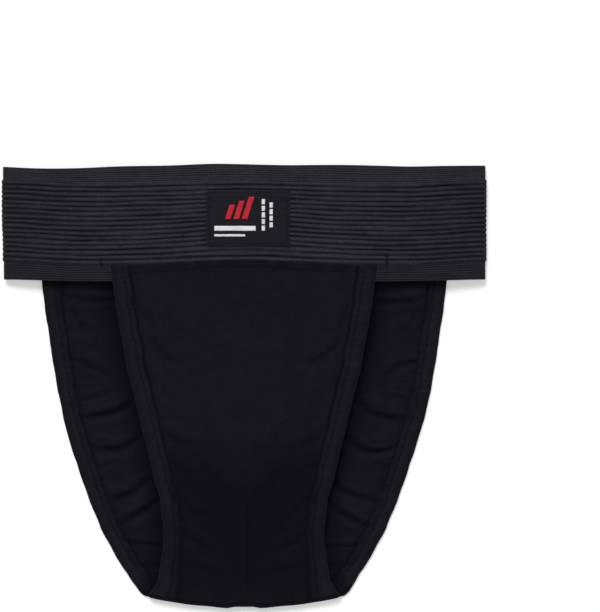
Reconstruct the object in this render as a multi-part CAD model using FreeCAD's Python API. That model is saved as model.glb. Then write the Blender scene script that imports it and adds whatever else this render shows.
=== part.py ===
import FreeCAD, Part
import math
import os

# A gym supporter with a covered back, laid flat on a table with its front up.
# X runs across the waist, +Y towards the waist edge and +Z up from the table. The origin lies on
# the table under the middle of the garment. Left and right are the wearer's: left is +X.
# Every cloth piece is a layer of the same laid garment, named by its depth below the outer face,
# and cut to its own pattern outline.

Vec = FreeCAD.Vector
ACROSS = Vec(1, 0, 0)
ALONG = Vec(0, 1, 0)
UP = Vec(0, 0, 1)

# Whole garment
FLAT_WIDTH = 326.0
GARMENT_LENGTH = 298.0

# Waistband: a ribbed elastic strip closed into a loop
BAND_HEIGHT = 76.2
BAND_THICKNESS = 2.4
SELVEDGE_HEIGHT = 10.9
SELVEDGE_STEP = 1.2
RIB_COUNT = 17
RIB_DEPTH = 0.8
GROOVE_WIDTH = 0.9
BAND_FOLD_RADIUS = 4.0
BAND_CROWN = 18.5
JOIN_GAP = 0.4
JOIN_TAPE_WIDTH = 20.0
JOIN_TAPE_THICKNESS = 0.8
JOIN_TAPE_MARGIN = 2.0

# Label on the ribs
LABEL_WIDTH = 55.0
LABEL_HEIGHT = 37.0
LABEL_THICKNESS = 0.6
LABEL_CORNER_RADIUS = 1.5
LABEL_OFFSET_X = 3.0
LABEL_OFFSET_Y = 2.2

# Cloth and hems
FABRIC = 0.9
ELASTIC_THICKNESS = 0.8
ELASTIC_WIDTH = 9.0
HEM_WIDTH = 12.5
SEWN_GAP = 0.15
CUT_GAP = 0.3

# Crotch: the cloth turns over one round fold, whose line bows like a shallow arc
CROTCH_FOLD_RADIUS = 4.0
CROTCH_LINE_RADIUS = 256.0
CROTCH_HALF_WIDTH = 66.0
CROTCH_CHORDS = 6
BACK_SEAM_RISE = 33.0
LINING_FRONT_RISE = 50.0
LINING_BACK_RISE = 54.0

# Pattern outlines: a panel's top width, and points of its leg edge as the share of the way from
# the band down to the crotch and the share of the top width there
FRONT = "front"
BACK = "back"
FRONT_TOP_WIDTH = 179.2
BACK_TOP_WIDTH = 275.6
LEG_SHARES = {
    FRONT: ((0.31, 0.848), (0.52, 0.719), (0.72, 0.625), (0.86, 0.631)),
    BACK: ((0.28, 0.927), (0.52, 0.838), (0.76, 0.693), (0.88, 0.595)),
}

# Control rows of the front's bulge: share of the way down, then the height on the centre line
# and at the leg edge, as shares of the rise from the crotch fold to the band's crown, and the
# share of the pocket's room that lies behind the row
FRONT_SHARES = (
    (0.12, 1.048, 0.648, 0.84),
    (0.32, 1.257, 0.495, 1.00),
    (0.52, 1.390, 0.324, 0.06),
    (0.68, 0.838, 0.190, 0.00),
    (0.82, 0.114, 0.067, 0.00),
)
LEVEL_SHARES = (0.90, 0.94, 1.00, 1.05)
BAND_SHARES = (-0.30, -0.15, 0.0)

# Cup pocket
POCKET_ROOM = 9.8
POCKET_MOUTH_DROP = 10.0
POCKET_DEPTH = 112.0
POCKET_SIDE_DEPTH = 82.0
POCKET_POINT_HALF_WIDTH = 45.0
POCKET_HEM_HEIGHT = 8.0
POCKET_CLOSING_INSET = 9.5

# Worked-out places
WAIST_Y = GARMENT_LENGTH / 2
CROTCH_Y = -GARMENT_LENGTH / 2
BAND_Y = WAIST_Y - BAND_HEIGHT
LAP_Y = BAND_Y + SELVEDGE_HEIGHT - CUT_GAP
HEM_TOP_Y = BAND_Y - CUT_GAP
BACK_SEAM_Y = CROTCH_Y + BACK_SEAM_RISE
POCKET_MOUTH_Y = BAND_Y - POCKET_MOUTH_DROP
FOLD_CENTRE_X = FLAT_WIDTH / 2 - BAND_FOLD_RADIUS
ARCH_RISE = BAND_CROWN - 2 * BAND_FOLD_RADIUS
ARCH_ANGLE = 2 * math.atan(ARCH_RISE / FOLD_CENTRE_X)
ARCH_RADIUS = FOLD_CENTRE_X / math.sin(ARCH_ANGLE) + BAND_FOLD_RADIUS
ARCH_CENTRE_Z = BAND_CROWN - ARCH_RADIUS
CROTCH_AXIS_Y = CROTCH_Y + CROTCH_LINE_RADIUS
CROTCH_TOP = 2 * CROTCH_FOLD_RADIUS
FRONT_RISE = BAND_CROWN - CROTCH_TOP
TOP_HALF_WIDTH = {FRONT: FRONT_TOP_WIDTH / 2, BACK: BACK_TOP_WIDTH / 2}
BELOW_TABLE = -10.0
ABOVE_ALL = 60.0
PAST_CLOTH = 12.0
NET_HALF_WIDTH = TOP_HALF_WIDTH[FRONT] + PAST_CLOTH
JOIN_TOLERANCE = 0.001

# Depths of the layers below the garment's outer face
LAYER_ELASTIC = (FABRIC + SEWN_GAP, FABRIC + SEWN_GAP + ELASTIC_THICKNESS)
LAYER_HEM = (0.0, LAYER_ELASTIC[1] + SEWN_GAP + FABRIC)
LAYER_SLOT = (FABRIC, LAYER_HEM[1] - FABRIC)
LAYER_UNDER = (sum(LAYER_SLOT) / 2, LAYER_HEM[1] + CUT_GAP)
LAYER_LINING = (FABRIC + SEWN_GAP, 2 * FABRIC + SEWN_GAP)
LAYER_LINING_HEM = (LAYER_LINING[0], LAYER_LINING[1] + FABRIC)
LAYER_LINING_UNDER = (LAYER_LINING[1], LAYER_LINING_HEM[1] + CUT_GAP)
ELASTIC_INSET = FABRIC + 2 * SEWN_GAP
LINING_INSET = HEM_WIDTH + CUT_GAP


def down(share):
    """Y at a share of the way from the band's lower edge to the crotch."""
    return BAND_Y + share * (CROTCH_Y - BAND_Y)


def box(low, high):
    size = high - low
    return Part.makeBox(size.x, size.y, size.z, low)


def slab(low_y, high_y):
    """All of the space between two heights of the garment."""
    reach = FLAT_WIDTH
    return box(Vec(-reach, low_y, BELOW_TABLE), Vec(reach, high_y, ABOVE_ALL))


def prism(face):
    """A flat pattern face, drawn at Z = 0, as a cutter through the whole garment."""
    base = face.translated(Vec(0, 0, BELOW_TABLE))
    return base.extrude(UP * (ABOVE_ALL - BELOW_TABLE))


def mirrored(shape):
    return shape.mirror(Vec(0, 0, 0), ACROSS)


def joined(shapes):
    """The single closed solid that touching shapes make together."""
    filled = [shape for shape in shapes if shape.Solids]
    whole = filled[0].fuse(filled[1:], JOIN_TOLERANCE) if len(filled) > 1 else filled[0]
    if len(whole.Solids) != 1:
        raise ValueError(f"expected one solid, found {len(whole.Solids)}")
    return whole.Solids[0]


# ---- waistband ----


def band_profile():
    """The strip's ribbed cross-section in the plane X = 0, its rib crests on the table."""
    pitch = (BAND_HEIGHT - 2 * SELVEDGE_HEIGHT) / RIB_COUNT
    ribs_top = WAIST_Y - SELVEDGE_HEIGHT
    points = [(WAIST_Y, BAND_THICKNESS), (WAIST_Y, SELVEDGE_STEP), (ribs_top, SELVEDGE_STEP)]
    for number in range(RIB_COUNT):
        high = ribs_top - number * pitch
        low = high - pitch + GROOVE_WIDTH
        points += [(high, 0.0), (low, 0.0), (low - GROOVE_WIDTH / 2, RIB_DEPTH)]
    points.pop()
    ribs_low = BAND_Y + SELVEDGE_HEIGHT
    points[-1] = (ribs_low, 0.0)
    points += [(ribs_low, SELVEDGE_STEP), (BAND_Y, SELVEDGE_STEP), (BAND_Y, BAND_THICKNESS)]
    corners = [Vec(0, y, depth) for y, depth in points]
    return Part.Face(Part.makePolygon([*corners, corners[0]]))


def waistband_elastic():
    """Two halves of the loop: flat back, tight side fold and half of the front's low arch."""
    profile = band_profile()
    back = profile.translated(ACROSS * (JOIN_GAP / 2)).extrude(
        ACROSS * (FOLD_CENTRE_X - JOIN_GAP / 2)
    )
    turn = 180 - math.degrees(ARCH_ANGLE)
    at_fold = profile.translated(ACROSS * FOLD_CENTRE_X)
    fold_centre = Vec(FOLD_CENTRE_X, 0, BAND_FOLD_RADIUS)
    fold = at_fold.revolve(fold_centre, -ALONG, turn)
    at_arch = at_fold.copy()
    at_arch.rotate(fold_centre, -ALONG, turn)
    arch_centre = Vec(0, 0, ARCH_CENTRE_Z)
    arch = at_arch.revolve(arch_centre, -ALONG, math.degrees(ARCH_ANGLE))
    half = joined([back, fold, arch])
    return joined([half, mirrored(half)]).removeSplitter()


def waistband_join_tape():
    """The tape sewn over the butted ends of the strip, inside the centre back."""
    low_z = BAND_THICKNESS + SEWN_GAP
    low = Vec(-JOIN_TAPE_WIDTH / 2, BAND_Y + JOIN_TAPE_MARGIN, low_z)
    high = Vec(JOIN_TAPE_WIDTH / 2, WAIST_Y - JOIN_TAPE_MARGIN, low_z + JOIN_TAPE_THICKNESS)
    return box(low, high)


def woven_label():
    """A soft plate on the rib crests that follows the band's arch."""
    inner = ARCH_RADIUS + SEWN_GAP
    half_turn = math.degrees(LABEL_WIDTH / 2 / ARCH_RADIUS)
    middle_y = WAIST_Y - BAND_HEIGHT / 2 + LABEL_OFFSET_Y
    section = Part.makePlane(
        LABEL_HEIGHT,
        LABEL_THICKNESS,
        Vec(0, middle_y - LABEL_HEIGHT / 2, ARCH_CENTRE_Z + inner),
        ACROSS,
        ALONG,
    )
    centre = Vec(0, 0, ARCH_CENTRE_Z)
    section.rotate(centre, ALONG, -half_turn)
    plate = section.revolve(centre, ALONG, 2 * half_turn)
    plate.rotate(centre, ALONG, math.degrees(LABEL_OFFSET_X / ARCH_RADIUS))
    corners = [e for e in plate.Edges if e.Length < 1.5 * LABEL_THICKNESS]
    return joined([plate.makeFillet(LABEL_CORNER_RADIUS, corners)])


# ---- pattern outlines ----


def crotch_corner():
    fall = math.sqrt(CROTCH_LINE_RADIUS**2 - CROTCH_HALF_WIDTH**2)
    return Vec(CROTCH_HALF_WIDTH, CROTCH_AXIS_Y - fall, 0)


def leg_edge(side, inset):
    """The wearer's left leg edge of a panel, moved in by inset, from the top to the crotch."""
    points = [Vec(TOP_HALF_WIDTH[side], LAP_Y, 0)]
    points += [Vec(part * TOP_HALF_WIDTH[side], down(share), 0) for share, part in LEG_SHARES[side]]
    points.append(crotch_corner())
    curve = Part.BSplineCurve()
    curve.interpolate(points)
    if inset:
        tangents = [curve.tangent(curve.parameter(point))[0] for point in points]
        moved = [point + Vec(t.y, -t.x, 0) * inset for point, t in zip(points, tangents)]
        curve.interpolate(moved)
    return curve.toShape(), curve.StartPoint, curve.EndPoint


def pattern(side, inset=0.0):
    """A cutter of a panel's outline, running past both its ends, with both leg edges inset."""
    edge, top, low = leg_edge(side, inset)
    above = Vec(top.x, WAIST_Y, 0)
    past = Vec(low.x, CROTCH_Y - PAST_CLOTH, 0)
    left = [Part.makeLine(above, top), edge, Part.makeLine(low, past)]
    right = [mirrored(e) for e in left]
    across_top = Part.makeLine(above, Vec(-above.x, above.y, 0))
    across_low = Part.makeLine(past, Vec(-past.x, past.y, 0))
    edges = Part.__sortEdges__([*left, across_low, *right, across_top])
    return prism(Part.Face(Part.Wire(edges)))


# ---- layers of the laid garment ----


def front_half_width(share):
    """Half width of the front panel, straight from point to point of its outline."""
    points = [(0.0, 1.0), *LEG_SHARES[FRONT]]
    for (low, start), (high, end) in zip(points, points[1:]):
        if share <= high:
            part = start + (end - start) * (share - low) / (high - low)
            return part * TOP_HALF_WIDTH[FRONT]
    return points[-1][1] * TOP_HALF_WIDTH[FRONT]


def bulge_rows(with_pocket):
    """Each control row as Y, crown height and the fall per square millimetre across."""
    arch_fall = 1 / (2 * ARCH_RADIUS)
    rows = [(down(share), BAND_CROWN, arch_fall) for share in BAND_SHARES]
    for share, crown_share, edge_share, room_share in FRONT_SHARES:
        half = front_half_width(share)
        crown = CROTCH_TOP + crown_share * FRONT_RISE
        fall = (crown_share - edge_share) * FRONT_RISE / half**2
        if with_pocket:
            room = room_share * POCKET_ROOM
            crown -= room
            fall -= room / (half - POCKET_CLOSING_INSET) ** 2
        rows.append((down(share), crown, fall))
    rows += [(down(share), CROTCH_TOP, 0.0) for share in LEVEL_SHARES]
    if with_pocket:
        room = FRONT_SHARES[0][3] * POCKET_ROOM
        fall = arch_fall - room / (TOP_HALF_WIDTH[FRONT] - POCKET_CLOSING_INSET) ** 2
        rows[: len(BAND_SHARES)] = [
            (down(share), BAND_CROWN - room, fall) for share in BAND_SHARES
        ]
    return rows


def bulge_face(with_pocket=False):
    """The front's outer face: a parabola across, and a smooth cubic along the garment."""
    half = NET_HALF_WIDTH
    poles = []
    for y, crown, fall in bulge_rows(with_pocket):
        dip = fall * half**2
        poles.append([Vec(-half, y, crown - dip), Vec(0, y, crown + dip), Vec(half, y, crown - dip)])
    degree = 3
    spans = len(poles) - degree
    knots = [float(number) for number in range(spans + 1)]
    counts = [degree + 1] + [1] * (spans - 1) + [degree + 1]
    surface = Part.BSplineSurface()
    surface.buildFromPolesMultsKnots(
        poles, counts, [3, 3], knots, [0.0, 1.0], False, False, degree, 2
    )
    return surface.toShape()


def chord_turns():
    """Half the turn of each short chord of the crotch line, and the turn of each one's middle."""
    reach = math.degrees(math.asin((CROTCH_HALF_WIDTH + PAST_CLOTH) / CROTCH_LINE_RADIUS))
    half = reach / CROTCH_CHORDS
    return half, [half * (2 * number + 1) - reach for number in range(CROTCH_CHORDS)]


def turned(shape, turn):
    """A copy turned, in degrees, about the upright axis at the crotch line's centre."""
    copy = shape.copy()
    copy.rotate(Vec(0, CROTCH_AXIS_Y, 0), UP, turn)
    return copy


def chord_wedge():
    """The upright wedge, from the crotch line's centre, that holds one chord."""
    half, _ = chord_turns()
    reach = 1.1 * CROTCH_LINE_RADIUS
    width = reach * math.tan(math.radians(half))
    corners = [Vec(0, CROTCH_AXIS_Y, 0)]
    corners += [Vec(x, CROTCH_AXIS_Y - reach, 0) for x in (-width, width)]
    return prism(Part.Face(Part.makePolygon([*corners, corners[0]])))


def fold_centre():
    """The middle of the round fold's section, on the middle chord's own line."""
    half, _ = chord_turns()
    away = (CROTCH_LINE_RADIUS - CROTCH_FOLD_RADIUS) * math.cos(math.radians(half))
    return Vec(0, CROTCH_AXIS_Y - away, CROTCH_FOLD_RADIUS)


def inside_crotch_line():
    """All of the space behind the line where the level cloth starts to turn over."""
    half, turns = chord_turns()
    start = Vec(0, CROTCH_Y + CROTCH_FOLD_RADIUS, 0)
    ends = [turned(Part.Vertex(start), turn - half).Point for turn in turns]
    ends.append(turned(Part.Vertex(start), turns[-1] + half).Point)
    ends += [Vec(FLAT_WIDTH, ends[-1].y, 0), Vec(FLAT_WIDTH, GARMENT_LENGTH, 0)]
    ends += [Vec(-FLAT_WIDTH, GARMENT_LENGTH, 0), Vec(-FLAT_WIDTH, ends[0].y, 0)]
    return prism(Part.Face(Part.makePolygon([*ends, ends[0]])))


def quarter_fold(depths, first_angle):
    """A quarter of the crotch fold's round wall, mitred chord by chord."""
    centre = fold_centre()

    def at(radius, angle):
        turn = math.radians(angle)
        return centre + Vec(0, radius * math.cos(turn), radius * math.sin(turn))

    outer = CROTCH_FOLD_RADIUS - depths[0]
    inner = CROTCH_FOLD_RADIUS - depths[1]
    a, b, c = first_angle, first_angle + 45, first_angle + 90
    section = Part.Wire([
        Part.Arc(at(outer, a), at(outer, b), at(outer, c)).toShape(),
        Part.makeLine(at(outer, c), at(inner, c)),
        Part.Arc(at(inner, c), at(inner, b), at(inner, a)).toShape(),
        Part.makeLine(at(inner, a), at(outer, a)),
    ])
    length = FLAT_WIDTH / CROTCH_CHORDS
    run = Part.Face(section).translated(ACROSS * (-length / 2)).extrude(ACROSS * length)
    chord = run.common(chord_wedge())
    chords = [turned(chord, turn) for turn in chord_turns()[1]]
    return chords[0].fuse(chords[1:])


def layer(side, depths, pattern, with_pocket=False):
    """A layer of the garment's front or back cut to a pattern: its sheet, and half of the fold."""
    if side == FRONT:
        top = bulge_face(with_pocket).translated(UP * -depths[0])
        sheet = top.extrude(UP * (depths[0] - depths[1]))
    else:
        low = Vec(-FLAT_WIDTH / 2, CROTCH_Y, depths[0])
        sheet = box(low, Vec(FLAT_WIDTH / 2, WAIST_Y, depths[1]))
    fold = quarter_fold(depths, 90 if side == FRONT else 180)
    return [sheet.common(pattern).common(inside_crotch_line()), fold.common(pattern)]


def hemmed(side, low_y):
    """A panel's sheet with each leg edge turned in round its elastic, from low_y to the lap.

    It is cut from the hem's full thickness: the slot for the elastic first, then the cloth that
    is missing between the hems and all that would lie on the band.
    """
    lap = slab(HEM_TOP_Y, WAIST_Y)
    whole = layer(side, LAYER_HEM, pattern(side).common(slab(low_y, LAP_Y)))
    slots = layer(side, LAYER_SLOT, pattern(side, FABRIC).fuse(lap))
    unders = layer(side, LAYER_UNDER, pattern(side, HEM_WIDTH).fuse(lap))
    return [thick.cut(slot).cut(under) for thick, slot, under in zip(whole, slots, unders)]


# ---- cloth pieces ----


def front_panel():
    """Front sheet from its lap on the band, round the crotch fold to the seam on the back."""
    below_seam = slab(CROTCH_Y - PAST_CLOTH, BACK_SEAM_Y)
    tail = [part.common(below_seam) for part in hemmed(BACK, CROTCH_Y - PAST_CLOTH)]
    return joined([*hemmed(FRONT, CROTCH_Y - PAST_CLOTH), *tail])


def back_panel():
    """The seat: flat on the table, lapped under the band's back and hemmed at both legs."""
    return joined(hemmed(BACK, BACK_SEAM_Y + SEWN_GAP))


def left_leg_elastic():
    """One strip in the hem: down the front, round the crotch fold and up the back."""
    half = box(Vec(0, CROTCH_Y - PAST_CLOTH, BELOW_TABLE), Vec(FLAT_WIDTH, HEM_TOP_Y, ABOVE_ALL))
    parts = []
    for side in (FRONT, BACK):
        outer = pattern(side, ELASTIC_INSET).common(half)
        strip = outer.cut(pattern(side, ELASTIC_INSET + ELASTIC_WIDTH))
        parts += layer(side, LAYER_ELASTIC, strip)
    return joined(parts)


def right_leg_elastic():
    return mirrored(left_leg_elastic())


def above_pocket_point():
    """Everything above the cup pocket's pointed lower edge."""
    tip = POCKET_MOUTH_Y - POCKET_DEPTH
    slope = (POCKET_DEPTH - POCKET_SIDE_DEPTH) / POCKET_POINT_HALF_WIDTH
    side_y = tip + slope * NET_HALF_WIDTH
    corners = [
        Vec(-NET_HALF_WIDTH, side_y, 0),
        Vec(0, tip, 0),
        Vec(NET_HALF_WIDTH, side_y, 0),
        Vec(NET_HALF_WIDTH, WAIST_Y, 0),
        Vec(-NET_HALF_WIDTH, WAIST_Y, 0),
    ]
    return prism(Part.Face(Part.makePolygon([*corners, corners[0]])))


def cup_pocket_lining():
    """The sheet behind the front that makes the cup pocket, open at its hemmed top."""
    shape = pattern(FRONT, LINING_INSET).common(above_pocket_point())
    shape = shape.common(slab(CROTCH_Y, POCKET_MOUTH_Y))
    thick = layer(FRONT, LAYER_LINING_HEM, shape, with_pocket=True)[0]
    below_hem = slab(CROTCH_Y, POCKET_MOUTH_Y - POCKET_HEM_HEIGHT)
    under = layer(FRONT, LAYER_LINING_UNDER, below_hem, with_pocket=True)[0]
    return joined([thick.cut(under)])


def crotch_lining():
    """The second layer round the crotch fold, which also covers the back seam."""
    parts = []
    for side, rise in ((FRONT, LINING_FRONT_RISE), (BACK, LINING_BACK_RISE)):
        reach = slab(CROTCH_Y - PAST_CLOTH, CROTCH_Y + rise)
        parts += layer(side, LAYER_LINING, pattern(side, LINING_INSET).common(reach))
    return joined(parts)


PIECES = {
    "waistband_elastic": waistband_elastic,
    "waistband_join_tape": waistband_join_tape,
    "woven_label": woven_label,
    "front_panel": front_panel,
    "back_panel": back_panel,
    "left_leg_elastic": left_leg_elastic,
    "right_leg_elastic": right_leg_elastic,
    "cup_pocket_lining": cup_pocket_lining,
    "crotch_lining": crotch_lining,
}

os.makedirs("parts", exist_ok=True)
for name, make in PIECES.items():
    piece = make()
    piece.exportStep(f"parts/{name}.step")
    size = piece.BoundBox
    print(
        f"{name}: {size.XLength:.1f} x {size.YLength:.1f} x {size.ZLength:.1f} mm,"
        f" {piece.Volume / 1000:.2f} cm3, valid {piece.isValid()}"
    )
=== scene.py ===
import math

import bmesh
import bpy
import numpy as np
from bpy.props import FloatProperty, FloatVectorProperty, IntProperty, PointerProperty
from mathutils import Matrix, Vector, noise
from mathutils.bvhtree import BVHTree


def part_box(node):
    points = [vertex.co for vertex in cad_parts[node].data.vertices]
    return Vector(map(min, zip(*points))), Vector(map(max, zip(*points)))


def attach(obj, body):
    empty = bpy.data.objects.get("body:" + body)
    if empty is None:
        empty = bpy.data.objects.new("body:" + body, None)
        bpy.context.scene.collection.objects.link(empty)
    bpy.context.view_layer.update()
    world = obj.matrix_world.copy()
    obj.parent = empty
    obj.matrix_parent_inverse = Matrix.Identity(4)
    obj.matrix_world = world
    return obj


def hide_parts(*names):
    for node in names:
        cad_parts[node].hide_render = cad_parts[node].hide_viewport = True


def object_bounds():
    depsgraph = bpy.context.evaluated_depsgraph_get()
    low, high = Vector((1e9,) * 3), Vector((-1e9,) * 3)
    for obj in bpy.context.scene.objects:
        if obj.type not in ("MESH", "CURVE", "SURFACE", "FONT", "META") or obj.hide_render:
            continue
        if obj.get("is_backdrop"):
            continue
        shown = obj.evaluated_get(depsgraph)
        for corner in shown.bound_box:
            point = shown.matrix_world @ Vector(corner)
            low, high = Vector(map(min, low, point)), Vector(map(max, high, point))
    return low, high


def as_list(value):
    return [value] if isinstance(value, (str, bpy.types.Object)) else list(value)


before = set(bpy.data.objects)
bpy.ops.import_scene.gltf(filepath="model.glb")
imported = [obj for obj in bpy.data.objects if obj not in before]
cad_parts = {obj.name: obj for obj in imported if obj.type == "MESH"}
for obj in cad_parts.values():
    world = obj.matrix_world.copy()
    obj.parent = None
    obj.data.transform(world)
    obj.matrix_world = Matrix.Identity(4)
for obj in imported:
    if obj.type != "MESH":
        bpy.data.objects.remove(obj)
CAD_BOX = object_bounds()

# The looks of an athletic supporter with a covered back, laid flat with its front up.
# +X is the wearer's left, +Y the waist and +Z the front. Every layer of cloth is placed by one
# map of the laid garment: how far down it lies from the front's lap on the waist elastic, round
# the crotch and up the seat, how far across, and how deep below the outer face. Places are in
# metres. The widths and ends that fade, bell, wave and ripple take, and the tables, are in
# millimetres.

bl_info = {
    "name": "Athletic Supporter",
    "version": (1, 0, 0),
    "blender": (4, 5, 0),
    "location": "View3D > Sidebar > Supporter",
    "description": "Builds the cloth, elastics, label and threads of a laid athletic supporter",
    "category": "Object",
}

MM = 0.001


def srgb(red, green, blue):
    """A colour written as screen values from 0 to 255, for a shader."""
    def linear(value):
        value /= 255
        return value / 12.92 if value <= 0.04045 else ((value + 0.055) / 1.055) ** 2.4
    return (linear(red), linear(green), linear(blue))


# ---- what a user would change ----


class SupporterSizes(bpy.types.PropertyGroup):
    """Sizes of the cloth, the elastics and the threads."""

    fabric: FloatProperty(
        name="Cloth", description="Thickness of the jersey", default=0.9 * MM, unit="LENGTH"
    )
    hem_width: FloatProperty(
        name="Hem", description="Width of the turned leg hem", default=12.5 * MM, unit="LENGTH"
    )
    leg_elastic: FloatProperty(
        name="Leg elastic", description="Width of the elastic in the hem", default=9 * MM,
        unit="LENGTH",
    )
    ribs: IntProperty(name="Ribs", description="Ribs of the waist elastic", default=17, min=3)
    rib_depth: FloatProperty(
        name="Rib depth", description="Depth of the grooves between the ribs", default=0.95 * MM,
        unit="LENGTH",
    )
    thread: FloatProperty(
        name="Thread", description="Thickness of the sewing thread", default=0.34 * MM,
        unit="LENGTH",
    )
    stitch: FloatProperty(
        name="Stitch", description="Length of one stitch", default=2.7 * MM, unit="LENGTH"
    )


class SupporterColours(bpy.types.PropertyGroup):
    """Colours of the finishes."""

    jersey: FloatVectorProperty(
        name="Jersey", description="Front and seat cloth", subtype="COLOR",
        default=srgb(17, 16, 22),
    )
    elastic: FloatVectorProperty(
        name="Waist elastic", description="Ribbed elastic", subtype="COLOR",
        default=srgb(35, 34, 39),
    )
    label: FloatVectorProperty(
        name="Label", description="Ground of the woven label", subtype="COLOR",
        default=srgb(23, 22, 27),
    )
    mark: FloatVectorProperty(
        name="Bars", description="Slanted bars on the label", subtype="COLOR",
        default=srgb(178, 26, 42),
    )
    rule: FloatVectorProperty(
        name="Rules", description="Plain rules on the label", subtype="COLOR",
        default=srgb(216, 216, 216),
    )


def sizes():
    return bpy.context.scene.supporter_sizes


def colours():
    return bpy.context.scene.supporter_colours


# ---- sums ----


def step(value, low, high):
    """0 at low, 1 at high and smooth between; low may be the larger."""
    t = np.clip((value - low) / (high - low), 0, 1)
    return t * t * (3 - 2 * t)


def fade(value, low, high):
    """A step along a length, with its ends in millimetres."""
    return step(value, low * MM, high * MM)


def bell(value, width):
    """1 at a length of 0, falling away on both sides."""
    return np.exp(-((value / (width * MM)) ** 2))


def bells(value, table):
    """Bells added up, from rows of place, width and height."""
    return sum(height * bell(value - place * MM, width) for place, width, height in table)


def wave(value, pitch):
    return np.sin(2 * math.pi * value / (pitch * MM))


def spline(places, values):
    """A smooth function through the given values: a natural cubic spline."""
    x, y = np.array(places, float), np.array(values, float)
    count, gap = len(x), np.diff(x)
    matrix, right = np.eye(count), np.zeros(count)
    for i in range(1, count - 1):
        matrix[i, i - 1 : i + 2] = gap[i - 1], 2 * (gap[i - 1] + gap[i]), gap[i]
        right[i] = 6 * ((y[i + 1] - y[i]) / gap[i] - (y[i] - y[i - 1]) / gap[i - 1])
    bend = np.linalg.solve(matrix, right)

    def at(value):
        value = np.clip(value, x[0], x[-1])
        i = np.clip(np.searchsorted(x, value) - 1, 0, count - 2)
        after, before = x[i + 1] - value, value - x[i]
        cubic = (bend[i] * after**3 + bend[i + 1] * before**3) / (6 * gap[i])
        low = (y[i] / gap[i] - bend[i] * gap[i] / 6) * after
        return cubic + low + (y[i + 1] / gap[i] - bend[i + 1] * gap[i] / 6) * before

    return at


def ripple(x, y, size, seed):
    """Smooth uneven waves from about -1 to 1, of the given size, over any array of places."""
    x, y = np.broadcast_arrays(x, y)
    size = size * MM
    flat = [
        noise.noise(Vector((a, b, seed)))
        for a, b in zip((x / size).ravel().tolist(), (y / size).ravel().tolist())
    ]
    return np.array(flat).reshape(x.shape) * 1.6


# ---- meshes ----

THREAD_SIDES = 6
THREAD_TIP = 0.35
TINY = 1e-12


def grid_faces(rows, columns, closed_rows=False, closed_columns=False):
    r, c = np.meshgrid(
        np.arange(rows if closed_rows else rows - 1),
        np.arange(columns if closed_columns else columns - 1),
        indexing="ij",
    )
    nr, nc = (r + 1) % rows, (c + 1) % columns
    corners = [r * columns + c, r * columns + nc, nr * columns + nc, nr * columns + c]
    return np.stack(corners, -1).reshape(-1, 4).tolist()


def tube_faces(rows, columns):
    """Faces of rows of closed sections, with the first and the last section filled."""
    faces, last = grid_faces(rows, columns, closed_columns=True), (rows - 1) * columns
    return [*faces, list(range(columns)), list(range(last, last + columns))]


def joined(parts):
    """Points and faces of several closed shapes as one."""
    points, faces, used = [], [], 0
    for made, sides in parts:
        points.append(made)
        faces += [[corner + used for corner in face] for face in sides]
        used += len(made)
    return np.concatenate(points), faces


def make_piece(name, points, faces, finish, slot, tone=None, along=None):
    """A closed mesh that rides with the garment, its faces turned outwards."""
    mesh = bpy.data.meshes.new(name)
    mesh.from_pydata(np.asarray(points, float).reshape(-1, 3).tolist(), [], faces)
    for label, values in (("tone", tone), ("along", along)):
        if values is not None:
            layer = mesh.attributes.new(label, "FLOAT", "POINT")
            layer.data.foreach_set("value", np.asarray(values, np.float32).ravel())
    work = bmesh.new()
    work.from_mesh(mesh)
    bmesh.ops.recalc_face_normals(work, faces=work.faces)
    work.to_mesh(mesh)
    work.free()
    mesh.shade_smooth()
    mesh.materials.append(finish)
    piece = bpy.data.objects.new(name, mesh)
    bpy.context.scene.collection.objects.link(piece)
    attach(piece, "root")
    return piece


def swept_piece(name, rows, finish, slot, tone=None):
    """Rows of closed sections joined into a piece."""
    return make_piece(name, rows, tube_faces(*rows.shape[:2]), finish, slot, tone)


def thread_piece(name, lengths, finish, slot):
    """Lengths of thread as one piece. Each entry is a path, or an array of paths."""
    turns = np.linspace(0, 2 * math.pi, THREAD_SIDES, endpoint=False)[:, None]
    parts = []
    for paths in lengths:
        paths = paths if paths.ndim == 3 else paths[None]
        tangent = np.gradient(paths, axis=1)
        tangent /= np.linalg.norm(tangent, axis=2, keepdims=True) + TINY
        side = np.cross(tangent, (0.0, 0.0, 1.0))
        side /= np.linalg.norm(side, axis=2, keepdims=True) + TINY
        over = np.cross(side, tangent)
        thick = np.full(paths.shape[1], sizes().thread / 2)
        thick[[0, -1]] *= THREAD_TIP
        ring = side[:, :, None] * np.cos(turns) + over[:, :, None] * np.sin(turns)
        faces = tube_faces(paths.shape[1], THREAD_SIDES)
        made = paths[:, :, None] + ring * thick[:, None, None]
        parts += [(tube.reshape(-1, 3), faces) for tube in made]
    return make_piece(name, *joined(parts), finish, slot)


# ---- the laid garment ----

WAIST_LOW, WAIST_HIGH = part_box("waistband_elastic")
FRONT_LOW, FRONT_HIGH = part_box("front_panel")
BACK_LOW, BACK_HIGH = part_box("back_panel")
POCKET_LOW, POCKET_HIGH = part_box("cup_pocket_lining")
LINING_LOW, LINING_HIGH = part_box("crotch_lining")
TAPE_LOW, TAPE_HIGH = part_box("waistband_join_tape")
LABEL_LOW, LABEL_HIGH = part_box("woven_label")

CROTCH_Y = FRONT_LOW.y
SEAM_Y = BACK_LOW.y
FOLD_RADIUS = 4 * MM
CROTCH_LINE_RADIUS = 256 * MM
CROTCH_HALF = 66 * MM
LAP_DROP = 1.7 * MM

# Share of the way from the waist elastic down to the crotch, and share of the top's half width
FRONT_LEG = ((0.31, 0.848), (0.52, 0.719), (0.72, 0.625), (0.86, 0.631))
BACK_LEG = ((0.28, 0.927), (0.52, 0.838), (0.76, 0.693), (0.88, 0.595))

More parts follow.
